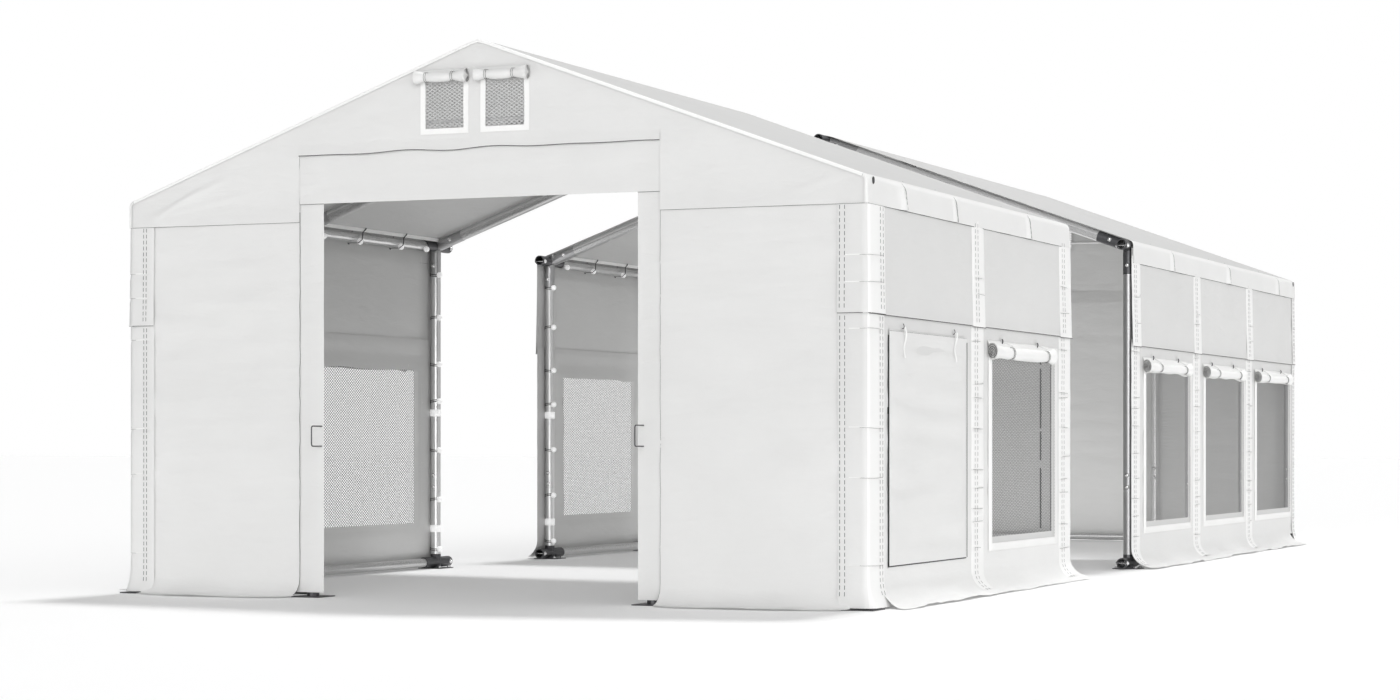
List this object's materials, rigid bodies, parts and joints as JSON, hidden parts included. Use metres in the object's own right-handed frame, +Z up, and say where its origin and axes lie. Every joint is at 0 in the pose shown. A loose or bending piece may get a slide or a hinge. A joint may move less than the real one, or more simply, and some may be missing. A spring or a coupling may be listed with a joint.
{
  "type": "marquee tent",
  "caption": "White pitched-roof marquee tent on a round steel tube frame, one bay left open, with netted side windows under rolled covers.",
  "frame": {"origin": "centre of the footprint on the ground", "axes": "+Y runs along the ridge from the front gable with the doorway to the closed rear gable, +X to the right as seen from the front looking in, +Z up"},
  "size_m": [5.422, 12.574, 3.434],
  "materials": {
    "tube_steel": "galvanized, satin",
    "cover_cloth": "coated cloth, satin",
    "window_net": "woven net, matt"
  },
  "bodies": {
    "root": {"post_left_1": "tube_steel", "post_right_1": "tube_steel", "truss_1": "tube_steel", "post_left_2": "tube_steel", "post_right_2": "tube_steel", "truss_2": "tube_steel", "post_left_3": "tube_steel", "post_right_3": "tube_steel", "truss_3": "tube_steel", "post_left_4": "tube_steel", "post_right_4": "tube_steel", "truss_4": "tube_steel", "post_left_5": "tube_steel", "post_right_5": "tube_steel", "truss_5": "tube_steel", "post_left_6": "tube_steel", "post_right_6": "tube_steel", "truss_6": "tube_steel", "post_left_7": "tube_steel", "post_right_7": "tube_steel", "truss_7": "tube_steel", "ridge_tube_front": "tube_steel", "eave_tube_left_front": "tube_steel", "ground_rail_left_front": "tube_steel", "eave_tube_right_front": "tube_steel", "ground_rail_right_front": "tube_steel", "ridge_tube_rear": "tube_steel", "eave_tube_left_rear": "tube_steel", "ground_rail_left_rear": "tube_steel", "eave_tube_right_rear": "tube_steel", "ground_rail_right_rear": "tube_steel", "front_gable_frame": "tube_steel", "rear_gable_frame": "tube_steel", "roof_cover_front": "cover_cloth", "roof_cover_rear": "cover_cloth", "rear_wall": "cover_cloth", "gable_sheet_front": "cover_cloth", "gable_sheet_rear": "cover_cloth", "front_door_surround": "cover_cloth", "front_panel_left": "cover_cloth", "wall_left_front": "cover_cloth", "wall_left_rear": "cover_cloth", "front_panel_right": "cover_cloth", "wall_right_front": "cover_cloth", "wall_right_rear": "cover_cloth", "window_net_left_front": "window_net", "window_net_left_rear": "window_net", "window_net_right_front": "window_net", "window_net_right_rear": "window_net", "gable_net_front": "window_net", "gable_net_rear": "window_net"}
  },
  "joints": []
}
